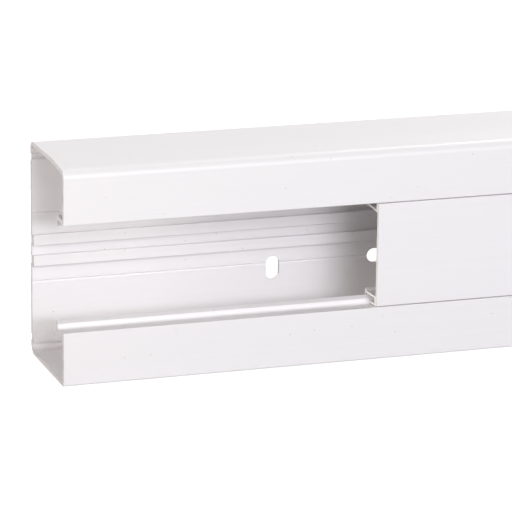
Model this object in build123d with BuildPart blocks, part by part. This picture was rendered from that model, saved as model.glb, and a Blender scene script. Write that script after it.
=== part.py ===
"""Device-mounting cable trunking: an extruded base and the clip-on cover that runs along its lips.

Millimetres. X runs along the length, -Y is the open front, +Y the wall side and Z is up. The
origin is at the middle of the underside. Both sections are drawn in one plane, in which the first
coordinate runs from the front to the wall and the second one up from the middle of the front face.
The opening, the rails and the cover are centred there, and what else the back wall carries is
centred on the whole height.
"""

import os
from math import isclose

from build123d import *

# Base
trunking_length = 2000.0
trunking_height = 100.0
trunking_depth = 55.0
wall = 1.8
opening = 49.2
back_radius = 3.5
back_foot_radius = 5.0
underside_radius = 1.0
edge_radius = 0.4

# The top wall falls gently towards the front, over this depth, and turns a round edge there
taper_depth = 20.0
taper_fall = 1.4
taper_radius = 100.0
top_radius = 4.0

# Lips behind the front opening, which the cover grips: a shelf, a cove and a hooked bead
lip_depth = 9.7
lip_fall = 0.8
lip_wall = 2.1
lip_cove = 1.5
lip_bead = 2.9
lip_rise = 2.8
lip_shoulder = 1.7
lip_waist = 1.3

# Pair of rails on the back wall, opposite the opening, which socket boxes clip on
rail_gap = 4.5
rail_width = 5.2
rail_head = 1.3
rail_stem = 1.7
rail_undercut = 0.8
rail_relief_width = 4.0
rail_relief_depth = 0.9

# Hooks near the back corners, which hold a divider's foot
hook_from_side = 5.4
hook_reach = 2.0
hook_nose = 1.5
hook_slope = 1.7
hook_relief_width = 3.2
hook_relief_depth = 0.9

# Drilling grooves and the punched fixing slots on them
groove_offset = 16.1
groove_side = 0.9
slot_width = 6.6
slot_length = 11.0
first_slot = 116.0
slot_pair = 52.5
station_pitch = 500.0

# Cover, which stops short of the base's left end
cover_setback = 148.0
cover_thickness = 1.5
cover_edge_gap = 0.4
foot_depth = 2.9
foot_height = 4.4
arm_thickness = 0.9
arm_fall = 0.4
clip_clearance = 0.4
hook_clearance = 1.0
blade_thickness = 0.9
blade_drop = 1.4
blade_rise = 0.9
blade_lean = 1.1

front = -trunking_depth / 2
back_face = trunking_depth / 2
inner_back = back_face - wall
front_middle = (trunking_height - taper_fall) / 2
underside = -front_middle
top = trunking_height - front_middle
wall_middle = (top + underside) / 2
half_opening = opening / 2
taper_start = front + taper_depth
bead_front = front + lip_depth
bead_back = bead_front + lip_bead
bead_tip = half_opening - lip_rise
shelf_end = half_opening + lip_fall
rail_offset = (rail_gap + rail_width) / 2
hook_foot = top - hook_from_side
hook_head = hook_foot - hook_nose
hook_relief = hook_head - hook_slope / 2
section_plane = Plane(origin=(0, 0, front_middle), x_dir=(0, 1, 0), z_dir=(1, 0, 0))
across_wall_middle = Plane.XZ.offset(-wall_middle)


def front_corners(section, reach):
    """The corners nearest the front, among those no further than reach from the front's middle."""
    near = section.vertices().filter_by(lambda corner: abs(corner.Y) < reach + edge_radius / 2)
    return near.group_by(Axis.X)[0]


with BuildPart() as trunking_base:
    with BuildSketch(section_plane) as base_section:
        with BuildLine():
            Polyline(
                (front, underside),
                (back_face, underside),
                (back_face, top),
                (taper_start, top),
                (front, top - taper_fall),
                close=True,
            )
        make_face()
        fillet(base_section.vertices().group_by(Axis.X)[-1].sort_by(Axis.Y)[0], back_foot_radius)
        fillet(base_section.vertices().group_by(Axis.X)[-1].sort_by(Axis.Y)[-1], back_radius)
        fillet(base_section.vertices().group_by(Axis.X)[1], taper_radius)
        fillet(base_section.vertices().group_by(Axis.X)[0].sort_by(Axis.Y)[0], underside_radius)
        fillet(base_section.vertices().group_by(Axis.X)[0].sort_by(Axis.Y)[-1], top_radius)
        offset(amount=-wall, mode=Mode.SUBTRACT)
        with Locations((front, 0)):
            Rectangle(3 * wall, opening, mode=Mode.SUBTRACT)
        # Upper lip: a shelf behind the flange's edge, falling away from the opening to the bead.
        with BuildLine():
            Polyline(
                (front + wall / 2, half_opening),
                (front + wall, half_opening),
                (bead_front, shelf_end),
                (bead_front, half_opening - lip_shoulder),
                (bead_back - edge_radius, bead_tip),
                (bead_back, bead_tip + edge_radius),
                (bead_front + lip_waist, shelf_end + edge_radius),
                (bead_front, shelf_end + lip_wall),
                (front + wall / 2, half_opening + lip_wall),
                close=True,
            )
        upper_lip = make_face()
        mirror(upper_lip, about=Plane.XZ)
        # Hook near the upper back corner, sloped towards the rails.
        with BuildLine():
            Polyline(
                (inner_back + wall / 2, hook_foot),
                (inner_back - hook_reach, hook_foot),
                (inner_back - hook_reach, hook_head),
                (inner_back, hook_head - hook_slope),
                (inner_back + wall / 2, hook_head - hook_slope),
                close=True,
            )
        upper_hook = make_face()
        mirror(upper_hook, about=across_wall_middle)
        # Rails: a head on a narrower stem each.
        with Locations((inner_back, rail_offset), (inner_back, -rail_offset)):
            Rectangle(
                rail_stem + rail_head,
                rail_width - 2 * rail_undercut,
                align=(Align.MAX, Align.CENTER),
            )
            with Locations((-rail_stem, 0)):
                Rectangle(rail_head, rail_width, align=(Align.MAX, Align.CENTER))
        # Cove each shelf into its bead, then ease the flanges, the beads' noses and the rails.
        coves = base_section.vertices().filter_by(
            lambda corner: isclose(corner.X, bead_front) and isclose(abs(corner.Y), shelf_end)
        )
        fillet(coves, lip_cove)
        fillet(front_corners(base_section, half_opening), edge_radius)
        fillet(front_corners(base_section, half_opening - lip_shoulder), edge_radius)
        fillet(front_corners(base_section, rail_gap / 2 + rail_width), edge_radius)
        # Two drilling grooves in the back wall, and a relief channel behind each rail and hook.
        with Locations((inner_back, wall_middle)):
            with Locations((0, groove_offset), (0, -groove_offset)):
                Rectangle(groove_side, groove_side, rotation=45, mode=Mode.SUBTRACT)
        with Locations((back_face, rail_offset), (back_face, -rail_offset)):
            Rectangle(2 * rail_relief_depth, rail_relief_width, mode=Mode.SUBTRACT)
        with Locations((back_face, wall_middle)):
            with Locations((0, hook_relief - wall_middle), (0, wall_middle - hook_relief)):
                Rectangle(2 * hook_relief_depth, hook_relief_width, mode=Mode.SUBTRACT)
    extrude(amount=trunking_length / 2, both=True)
    # Fixing slots: at each station an upright pair, then a level pair, above and below the rails.
    punched_length = trunking_length - first_slot - slot_pair - slot_length
    station_count = 1 + int(punched_length // station_pitch)
    stations_middle = -trunking_length / 2 + first_slot + (station_count - 1) * station_pitch / 2
    upright_offset = groove_offset + (slot_length - slot_width) / 2
    with BuildSketch(Plane.XZ.offset(-back_face)):
        with Locations((stations_middle, trunking_height / 2)):
            with GridLocations(station_pitch, 2 * upright_offset, station_count, 2):
                SlotOverall(slot_length, slot_width, rotation=90)
        with Locations((stations_middle + slot_pair, trunking_height / 2)):
            with GridLocations(station_pitch, 2 * groove_offset, station_count, 2):
                SlotOverall(slot_length, slot_width)
    extrude(amount=2 * wall, mode=Mode.SUBTRACT)
trunking_base.part.label = "trunking_base"

cover_length = trunking_length - cover_setback
cover_edge = half_opening - cover_edge_gap
arm_root = front + cover_thickness / 2
foot_inside = cover_edge - foot_height
short_arm_end = bead_front - clip_clearance - lip_cove / 3
long_arm_outside = bead_tip - clip_clearance
long_arm_inside = long_arm_outside - arm_thickness
blade_front = bead_back + hook_clearance
long_arm_end = blade_front + (blade_lean + blade_thickness) / 2

with BuildPart() as front_cover:
    with BuildSketch(section_plane.offset(cover_setback - trunking_length / 2)):
        with Locations((front, 0)):
            cover_plate = Rectangle(
                cover_thickness, 2 * cover_edge, align=(Align.MIN, Align.CENTER)
            )
        fillet(cover_plate.vertices().group_by(Axis.X)[0], edge_radius)
        # Thick upper edge, with a short arm close under the shelf.
        with Locations((front + foot_depth, cover_edge)):
            Rectangle(foot_depth - cover_thickness / 2, foot_height, align=(Align.MAX, Align.MAX))
        with BuildLine():
            Polyline(
                (arm_root, cover_edge),
                (short_arm_end, cover_edge + arm_fall),
                (short_arm_end, cover_edge + arm_fall - arm_thickness),
                (arm_root, cover_edge - arm_thickness),
                close=True,
            )
        make_face()
        # Longer arm past the bead's tip, with a slanted blade that hooks behind the bead.
        with BuildLine():
            Polyline(
                (arm_root, foot_inside + arm_thickness),
                (long_arm_end, long_arm_outside),
                (long_arm_end, long_arm_inside),
                (arm_root, foot_inside),
                close=True,
            )
        make_face()
        with BuildLine():
            Polyline(
                (blade_front, long_arm_outside + blade_drop),
                (blade_front + blade_thickness, long_arm_outside + blade_drop),
                (blade_front + blade_lean + blade_thickness, long_arm_inside - blade_rise),
                (blade_front + blade_lean, long_arm_inside - blade_rise),
                close=True,
            )
        make_face()
        mirror(about=Plane.XZ)
    extrude(amount=cover_length)
front_cover.part.label = "front_cover"

os.makedirs("parts", exist_ok=True)
export_step(trunking_base.part, "parts/trunking_base.step")
export_step(front_cover.part, "parts/front_cover.step")
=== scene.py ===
"""Cable trunking in extruded white PVC: the finishes, the plain studio and the photograph's camera.

Metres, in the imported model's frame: X along the trunking, -Y its open front, Z up from the floor.
"""

from math import cos, pi, radians, sin

import bpy
from mathutils import Matrix, Vector


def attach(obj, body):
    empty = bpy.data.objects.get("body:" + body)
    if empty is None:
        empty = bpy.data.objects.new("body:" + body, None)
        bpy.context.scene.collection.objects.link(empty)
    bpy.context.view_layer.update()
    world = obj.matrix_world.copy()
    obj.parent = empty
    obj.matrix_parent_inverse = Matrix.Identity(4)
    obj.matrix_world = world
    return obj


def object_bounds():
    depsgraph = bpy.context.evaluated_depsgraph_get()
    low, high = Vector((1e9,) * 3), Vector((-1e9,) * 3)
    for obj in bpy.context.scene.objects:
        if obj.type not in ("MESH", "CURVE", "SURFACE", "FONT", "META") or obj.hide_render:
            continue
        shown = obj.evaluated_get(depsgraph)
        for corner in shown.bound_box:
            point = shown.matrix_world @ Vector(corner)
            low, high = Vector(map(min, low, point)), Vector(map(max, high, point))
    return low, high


MM = 0.001
PER_MM = 1 / MM

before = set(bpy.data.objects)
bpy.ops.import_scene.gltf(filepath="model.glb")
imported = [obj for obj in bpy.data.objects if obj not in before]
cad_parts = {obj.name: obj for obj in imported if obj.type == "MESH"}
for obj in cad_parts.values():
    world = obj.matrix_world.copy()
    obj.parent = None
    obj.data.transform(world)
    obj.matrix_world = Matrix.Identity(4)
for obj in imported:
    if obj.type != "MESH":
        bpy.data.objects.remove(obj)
cad_low, cad_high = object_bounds()

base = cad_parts["trunking_base"]
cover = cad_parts["front_cover"]
middle = (cad_low + cad_high) / 2
end_x = cad_low.x
front_y = cad_low.y


# Camera: a long lens, to the left of the cut end and above it, rolled a little. Its place is in
# metres from the cut end, from the front and from the floor
LENS = 236.8
CAMERA_REACH = 100.0
CAMERA_FROM_END = -0.38424
CAMERA_FROM_FRONT = -1.37551
CAMERA_HEIGHT = 0.45956
LOOK_RIGHT = radians(19.004)
LOOK_DOWN = radians(15.591)
ROLL = radians(0.814)

camera = bpy.data.objects.new("camera", bpy.data.cameras.new("camera"))
bpy.context.scene.collection.objects.link(camera)
camera.data.lens = LENS
camera.data.clip_end = CAMERA_REACH
camera.matrix_world = (
    Matrix.Translation((end_x + CAMERA_FROM_END, front_y + CAMERA_FROM_FRONT, CAMERA_HEIGHT))
    @ Matrix.Rotation(-LOOK_RIGHT, 4, "Z")
    @ Matrix.Rotation(pi / 2 - LOOK_DOWN, 4, "X")
    @ Matrix.Rotation(ROLL, 4, "Z")
)
bpy.context.scene.camera = camera


def linear(hex_colour):
    """An sRGB hex colour as the linear RGBA that a socket takes."""
    channels = [int(hex_colour[i : i + 2], 16) / 255 for i in (0, 2, 4)]
    return [c / 12.92 if c <= 0.04045 else ((c + 0.055) / 1.055) ** 2.4 for c in channels] + [1.0]


def add(tree, kind, inputs=None, **settings):
    """Adds a node: settings are its properties, inputs give each socket a value or a link."""
    node = tree.nodes.new(kind)
    for name, value in settings.items():
        setattr(node, name, value)
    for socket, value in (inputs or {}).items():
        if isinstance(value, bpy.types.NodeSocket):
            tree.links.new(value, node.inputs[socket])
        else:
            node.inputs[socket].default_value = value
    return node


# Sockets of a Mix node set to colours, and the output of a Random Value node set to booleans
MIX_A, MIX_B, MIX_RESULT = 6, 7, 2
RANDOM_BOOLEAN = 3


def new_material(name):
    """An empty material and its node tree."""
    material = bpy.data.materials.new(name)
    material.use_nodes = True
    material.node_tree.nodes.clear()
    return material, material.node_tree


# Rigid PVC's index of refraction, and its roughness as it leaves the die, sawn and torn
PVC_IOR = 1.53
DRAWN_ROUGHNESS = 0.36
SAWN_ROUGHNESS = 0.75
TORN_ROUGHNESS = 0.8

# A sawn end is where the normal's part along the trunking is over this
END_NORMAL = 0.95

# Sizes that the patterns on the PVC are scaled from, in millimetres. The die lines are about three
# pixels of the picture apart, so that they show in it, and real ones may be finer
DIE_LINE_PITCH = 1.2
DIE_LINE_LENGTH = 500.0
DIE_LINE_RELIEF = 0.004
SPECK_CELL = 3.0
SAW_MARK_PITCH = 0.5
SAW_MARK_LENGTH = 12.0
BURR_PATCH = 4.0

# A speck fades out between these parts of its cell's size, 0.12 and 0.27 mm from its middle
SPECK_CORE = 0.04
SPECK_RIM = 0.09

# The saw's path leans this far from upright
SAW_LEAN = radians(12.0)


def extruded_pvc(name, colour, dusty, sawn_dark, sawn_light):
    """Rigid PVC, extruded through a polished die and sawn to length.

    It is a satin, cool white. The die leaves faint lines along the whole length, the saw leaves
    dull end faces with fine marks, and specks of swarf and dust cling to a share of the surface.
    """
    material, tree = new_material(name)
    coords = add(tree, "ShaderNodeTexCoord")
    position = coords.outputs["Object"]
    normal = add(tree, "ShaderNodeSeparateXYZ", {0: coords.outputs["Normal"]})

    # Die lines, drawn out along the trunking
    drawn = add(
        tree,
        "ShaderNodeMapping",
        {
            "Vector": position,
            "Scale": (PER_MM / DIE_LINE_LENGTH, PER_MM / DIE_LINE_PITCH, PER_MM / DIE_LINE_PITCH),
        },
    )
    die_lines = add(
        tree,
        "ShaderNodeTexNoise",
        {"Vector": drawn.outputs[0], "Scale": 1.0, "Detail": 3.0, "Roughness": 0.6},
    )
    line_tone = add(
        tree,
        "ShaderNodeMapRange",
        {
            "Value": die_lines.outputs[0],
            "From Min": 0.3,
            "From Max": 0.7,
            "To Min": 0.985,
            "To Max": 1.0,
        },
    )
    white = add(
        tree,
        "ShaderNodeMix",
        {"Factor": 1.0, MIX_A: linear(colour), MIX_B: line_tone.outputs[0]},
        data_type="RGBA",
        blend_type="MULTIPLY",
    )

    # Specks, kept in a few of their cells
    specks = add(
        tree, "ShaderNodeTexVoronoi", {"Vector": position, "Scale": PER_MM / SPECK_CELL}
    )
    speck_size = add(
        tree,
        "ShaderNodeMapRange",
        {
            "Value": specks.outputs["Distance"],
            "From Min": SPECK_CORE,
            "From Max": SPECK_RIM,
            "To Min": 1.0,
            "To Max": 0.0,
        },
    )
    speck_random = add(tree, "ShaderNodeSeparateColor", {0: specks.outputs["Color"]})
    speck_kept = add(
        tree, "ShaderNodeMath", {0: speck_random.outputs[0], 1: dusty}, operation="LESS_THAN"
    )
    speck = add(
        tree,
        "ShaderNodeMath",
        {0: speck_size.outputs[0], 1: speck_kept.outputs[0]},
        operation="MULTIPLY",
    )
    speck_colour = add(
        tree,
        "ShaderNodeMix",
        {"Factor": speck_random.outputs[1], MIX_A: linear("8C827C"), MIX_B: linear("C0A888")},
        data_type="RGBA",
    )
    speckled = add(
        tree,
        "ShaderNodeMix",
        {
            "Factor": speck.outputs[0],
            MIX_A: white.outputs[MIX_RESULT],
            MIX_B: speck_colour.outputs[MIX_RESULT],
        },
        data_type="RGBA",
    )

    # Saw marks on the end faces, drawn out along the blade's path
    sawn = add(
        tree,
        "ShaderNodeMapping",
        {
            "Vector": position,
            "Rotation": (SAW_LEAN, 0.0, 0.0),
            "Scale": (0.0, PER_MM / SAW_MARK_PITCH, PER_MM / SAW_MARK_LENGTH),
        },
    )
    saw_marks = add(
        tree,
        "ShaderNodeTexNoise",
        {"Vector": sawn.outputs[0], "Scale": 1.0, "Detail": 4.0, "Roughness": 0.7},
    )
    sawn_colour = add(
        tree,
        "ShaderNodeMix",
        {"Factor": saw_marks.outputs[0], MIX_A: linear(sawn_dark), MIX_B: linear(sawn_light)},
        data_type="RGBA",
    )
    facing_end = add(tree, "ShaderNodeMath", {0: normal.outputs[0]}, operation="ABSOLUTE")
    end_face = add(
        tree, "ShaderNodeMath", {0: facing_end.outputs[0], 1: END_NORMAL}, operation="GREATER_THAN"
    )
    colour_out = add(
        tree,
        "ShaderNodeMix",
        {
            "Factor": end_face.outputs[0],
            MIX_A: speckled.outputs[MIX_RESULT],
            MIX_B: sawn_colour.outputs[MIX_RESULT],
        },
        data_type="RGBA",
    )
    roughness = add(
        tree,
        "ShaderNodeMapRange",
        {"Value": end_face.outputs[0], "To Min": DRAWN_ROUGHNESS, "To Max": SAWN_ROUGHNESS},
    )
    line_relief = add(
        tree,
        "ShaderNodeBump",
        {"Height": die_lines.outputs[0], "Distance": DIE_LINE_RELIEF * MM, "Strength": 1.0},
    )
    shader = add(
        tree,
        "ShaderNodeBsdfPrincipled",
        {
            "Base Color": colour_out.outputs[MIX_RESULT],
            "Roughness": roughness.outputs[0],
            "IOR": PVC_IOR,
            "Normal": line_relief.outputs[0],
        },
    )
    add(tree, "ShaderNodeOutputMaterial", {"Surface": shader.outputs[0]})
    return material


def finish_node(node, material):
    """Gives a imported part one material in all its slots."""
    for slot in node.material_slots:
        slot.material = material


# The plain colour, the share of specks kept, and the end faces' darkest and palest tone
finish_node(base, extruded_pvc("extruded_pvc_base", "F1EFF1", 0.15, "B6B5B7", "CAC9CC"))
finish_node(cover, extruded_pvc("extruded_pvc_cover", "F1EFF2", 0.02, "E4E1DE", "F4F2F0"))


def sawn_edge_material():
    """Torn PVC along a sawn edge: dull and rough, and darker in patches."""
    material, tree = new_material("sawn_pvc_burr")
    coords = add(tree, "ShaderNodeTexCoord")
    patches = add(
        tree,
        "ShaderNodeTexNoise",
        {
            "Vector": coords.outputs["Object"],
            "Scale": PER_MM / BURR_PATCH,
            "Detail": 3.0,
            "Roughness": 0.7,
        },
    )
    patch_tone = add(
        tree,
        "ShaderNodeMapRange",
        {"Value": patches.outputs[0], "From Min": 0.38, "From Max": 0.62},
    )
    colour = add(
        tree,
        "ShaderNodeMix",
        {"Factor": patch_tone.outputs[0], MIX_A: linear("A6A2A2"), MIX_B: linear("DDDEE1")},
        data_type="RGBA",
    )
    shader = add(
        tree,
        "ShaderNodeBsdfPrincipled",
        {"Base Color": colour.outputs[MIX_RESULT], "Roughness": TORN_ROUGHNESS, "IOR": PVC_IOR},
    )
    add(tree, "ShaderNodeOutputMaterial", {"Surface": shader.outputs[0]})
    return material


# Sizes of the burr on a sawn edge, and of the crumbs of swarf that cling to it
BURR_SIZES = {
    "Burr Radius": 0.1 * MM,
    "Burr Step": 0.6 * MM,
    "Patch Length": 2.0 * MM,
    "Crumb Radius": 0.14 * MM,
    "Crumb Share": 0.06,
}
BURR_SEED = 7

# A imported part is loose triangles, and their corners that are closer than this are merged
MERGE_DISTANCE = 0.001 * MM


def sawn_edge_tree():
    """Geometry nodes that lay a ragged burr and a few crumbs along the outline of the end faces."""
    tree = bpy.data.node_groups.new("sawn_edges", "GeometryNodeTree")
    interface = tree.interface
    interface.new_socket("Geometry", in_out="INPUT", socket_type="NodeSocketGeometry")
    for name in BURR_SIZES:
        interface.new_socket(name, in_out="INPUT", socket_type="NodeSocketFloat")
    interface.new_socket("Seed", in_out="INPUT", socket_type="NodeSocketInt")
    interface.new_socket("Material", in_out="INPUT", socket_type="NodeSocketMaterial")
    interface.new_socket("Geometry", in_out="OUTPUT", socket_type="NodeSocketGeometry")
    given = add(tree, "NodeGroupInput").outputs

    # The outline of each end: the edges that have only one face left, once the rest is cut away
    solid = add(
        tree,
        "GeometryNodeMergeByDistance",
        {"Geometry": given["Geometry"], "Distance": MERGE_DISTANCE},
    )
    face_normal = add(tree, "GeometryNodeInputNormal")
    normal = add(tree, "ShaderNodeSeparateXYZ", {0: face_normal.outputs[0]})
    facing_end = add(tree, "ShaderNodeMath", {0: normal.outputs[0]}, operation="ABSOLUTE")
    is_end = add(
        tree, "ShaderNodeMath", {0: facing_end.outputs[0], 1: END_NORMAL}, operation="GREATER_THAN"
    )
    ends = add(
        tree,
        "GeometryNodeSeparateGeometry",
        {"Geometry": solid.outputs[0], "Selection": is_end.outputs[0]},
        domain="FACE",
    )
    faces_there = add(tree, "GeometryNodeInputMeshEdgeNeighbors")
    border = add(tree, "ShaderNodeMath", {0: faces_there.outputs[0], 1: 1.5}, operation="LESS_THAN")
    outline = add(
        tree,
        "GeometryNodeMeshToCurve",
        {"Mesh": ends.outputs[0], "Selection": border.outputs[0]},
    )
    steps = add(
        tree,
        "GeometryNodeResampleCurve",
        {"Curve": outline.outputs[0], "Length": given["Burr Step"]},
        mode="LENGTH",
    )

    # The burr swells and thins along the outline
    patch_scale = add(
        tree, "ShaderNodeMath", {0: 1.0, 1: given["Patch Length"]}, operation="DIVIDE"
    )
    ragged = add(tree, "ShaderNodeTexNoise", {"Scale": patch_scale.outputs[0], "Detail": 2.0})
    swelling = add(
        tree,
        "ShaderNodeMapRange",
        {
            "Value": ragged.outputs[0],
            "From Min": 0.35,
            "From Max": 0.65,
            "To Min": 0.25,
            "To Max": 1.0,
        },
    )
    radius = add(
        tree,
        "ShaderNodeMath",
        {0: swelling.outputs[0], 1: given["Burr Radius"]},
        operation="MULTIPLY",
    )
    ring = add(tree, "GeometryNodeCurvePrimitiveCircle", {"Resolution": 5, "Radius": 1.0})
    burr = add(
        tree,
        "GeometryNodeCurveToMesh",
        {"Curve": steps.outputs[0], "Profile Curve": ring.outputs[0], "Scale": radius.outputs[0]},
    )

    # Crumbs stand on a few of the burr's steps, turned and flattened at random
    kept = add(
        tree,
        "FunctionNodeRandomValue",
        {"Probability": given["Crumb Share"], "Seed": given["Seed"]},
        data_type="BOOLEAN",
    )
    turn = add(
        tree,
        "FunctionNodeRandomValue",
        {1: (2 * pi, 2 * pi, 2 * pi), "Seed": given["Seed"]},
        data_type="FLOAT_VECTOR",
    )
    shape = add(
        tree,
        "FunctionNodeRandomValue",
        {0: (0.7, 0.6, 0.4), 1: (1.0, 0.9, 0.7), "Seed": given["Seed"]},
        data_type="FLOAT_VECTOR",
    )
    size = add(
        tree,
        "ShaderNodeVectorMath",
        {0: shape.outputs[0], "Scale": given["Crumb Radius"]},
        operation="SCALE",
    )
    grain = add(tree, "GeometryNodeMeshIcoSphere", {"Radius": 1.0, "Subdivisions": 1})
    crumbs = add(
        tree,
        "GeometryNodeInstanceOnPoints",
        {
            "Points": steps.outputs[0],
            "Selection": kept.outputs[RANDOM_BOOLEAN],
            "Instance": grain.outputs[0],
            "Rotation": turn.outputs[0],
            "Scale": size.outputs[0],
        },
    )
    joined = add(tree, "GeometryNodeJoinGeometry")
    for piece in (burr, crumbs):
        tree.links.new(piece.outputs[0], joined.inputs[0])
    real = add(tree, "GeometryNodeRealizeInstances", {"Geometry": joined.outputs[0]})
    dressed = add(
        tree,
        "GeometryNodeSetMaterial",
        {"Geometry": real.outputs[0], "Material": given["Material"]},
    )
    add(tree, "NodeGroupOutput", {"Geometry": dressed.outputs[0]})
    return tree


def burr_along(node, name, body, tree, material):
    """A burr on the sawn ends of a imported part, as a plain mesh that rides with it."""
    source = bpy.data.objects.new(name + "_source", node.data.copy())
    bpy.context.scene.collection.objects.link(source)
    modifier = source.modifiers.new("sawn_edges", "NODES")
    modifier.node_group = tree
    values = {**BURR_SIZES, "Seed": BURR_SEED, "Material": material}
    for socket in tree.interface.items_tree:
        if socket.in_out == "INPUT" and socket.name in values:
            modifier[socket.identifier] = values[socket.name]
    evaluated = source.evaluated_get(bpy.context.evaluated_depsgraph_get())
    mesh = bpy.data.meshes.new_from_object(evaluated)
    source.modifiers.remove(modifier)
    bpy.data.objects.remove(source)
    mesh.name = name
    burr = bpy.data.objects.new(name, mesh)
    bpy.context.scene.collection.objects.link(burr)
    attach(burr, body)


edge_tree = sawn_edge_tree()
edge_material = sawn_edge_material()
burr_along(base, "base_sawn_edges", "base", edge_tree, edge_material)
burr_along(cover, "cover_sawn_edges", "cover", edge_tree, edge_material)


# Floor and world. Each has a strength as the camera and reflections see it, where 1 is white, and
# another as a light on the object
FLOOR_REACH = 60.0
PAPER_SEEN, PAPER_LIGHT = 0.8, 0.0
SKY_SEEN, SKY_LIGHT = 1.0, 0.02


def seen_white(tree, seen_strength, light_strength):
    """The strength of a background: one where it is seen or reflected, one for all other light."""
    path = add(tree, "ShaderNodeLightPath")
    seen = add(
        tree,
        "ShaderNodeMath",
        {0: path.outputs["Is Camera Ray"], 1: path.outputs["Is Glossy Ray"]},
        operation="MAXIMUM",
    )
    seen = add(
        tree,
        "ShaderNodeMath",
        {0: seen.outputs[0], 1: path.outputs["Is Transmission Ray"]},
        operation="MAXIMUM",
    )
    strength = add(
        tree,
        "ShaderNodeMapRange",
        {"Value": seen.outputs[0], "To Min": light_strength, "To Max": seen_strength},
    )
    return strength.outputs[0]


def matt_white_paper():
    """Matt white paper with a glow that only the camera and reflections see.

    The lamps' light adds to it. Around the object it is white, too white for a shadow to show, and
    further out it is a pale grey.
    """
    material, tree = new_material("matt_white_paper")
    diffuse = add(tree, "ShaderNodeBsdfDiffuse", {"Color": linear("B4B4B4")})
    strength = seen_white(tree, PAPER_SEEN, PAPER_LIGHT)
    glow = add(tree, "ShaderNodeEmission", {"Color": linear("FFFFFF"), "Strength": strength})
    both = add(tree, "ShaderNodeAddShader", {0: diffuse.outputs[0], 1: glow.outputs[0]})
    add(tree, "ShaderNodeOutputMaterial", {"Surface": both.outputs[0]})
    return material


def white_studio():
    """A world that is white to the camera and sheds next to no light."""
    world = bpy.data.worlds.new("white_studio")
    world.use_nodes = True
    tree = world.node_tree
    tree.nodes.clear()
    strength = seen_white(tree, SKY_SEEN, SKY_LIGHT)
    sky = add(tree, "ShaderNodeBackground", {"Color": linear("FFFFFF"), "Strength": strength})
    add(tree, "ShaderNodeOutputWorld", {"Surface": sky.outputs[0]})
    return world


floor_mesh = bpy.data.meshes.new("floor")
floor_mesh.from_pydata(
    [(x * FLOOR_REACH, y * FLOOR_REACH, 0.0) for x, y in ((-1, -1), (1, -1), (1, 1), (-1, 1))],
    [],
    [(0, 1, 2, 3)],
)
floor = bpy.data.objects.new("floor", floor_mesh)
bpy.context.scene.collection.objects.link(floor)
floor_mesh.materials.append(matt_white_paper())
bpy.context.scene.world = white_studio()


# The lamps face a point inside the open end. A bearing is taken from straight in front of the open
# side, positive to the right, and a lift is above level, both in degrees
LAMP_AIM = Vector((end_x + 150 * MM, 0.0, middle.z))

# Each lamp's name, bearing, lift, distance, width and height in metres, watts and colour
LAMPS = (
    ("front_softbox", -2.0, 25.0, 6.0, 2.0, 2.0, 95.0, "F9FBFF"),
    ("front_right_softbox", 10.0, 18.0, 6.0, 3.0, 1.2, 38.0, "F9FBFF"),
    ("front_low_softbox", 0.0, 9.0, 4.0, 1.6, 1.2, 10.0, "F9FBFF"),
    ("front_strip", 5.0, 14.0, 6.0, 2.4, 0.6, 72.0, "F9FBFF"),
    ("left_softbox", -60.0, 20.0, 5.0, 2.0, 2.0, 84.0, "FFF7EF"),
    ("left_low_panel", -88.0, 5.0, 0.7, 0.9, 0.35, 3.0, "FFF6F0"),
    ("top_softbox", 120.0, 35.0, 2.5, 1.6, 1.0, 22.0, "FFFEFC"),
    ("back_softbox", 128.0, 40.0, 5.0, 3.0, 1.5, 126.0, "FFFEFC"),
    ("right_softbox", 85.0, 12.0, 5.0, 1.5, 1.5, 40.0, "FFFEFC"),
)


def softbox(name, bearing, lift, distance, width, height, watts, colour):
    """A soft area lamp that faces the lamps' common aim."""
    lamp = bpy.data.lights.new(name, "AREA")
    lamp.shape = "RECTANGLE"
    lamp.size, lamp.size_y = width, height
    lamp.energy = watts
    lamp.color = linear(colour)[:3]
    side, up = radians(bearing), radians(lift)
    away = Vector((sin(side) * cos(up), -cos(side) * cos(up), sin(up)))
    stand = bpy.data.objects.new(name, lamp)
    bpy.context.scene.collection.objects.link(stand)
    stand.location = LAMP_AIM + away * distance
    stand.rotation_euler = away.to_track_quat("Z", "Y").to_euler()


for lamp in LAMPS:
    softbox(*lamp)

scene = bpy.context.scene
scene.view_settings.view_transform = "Standard"
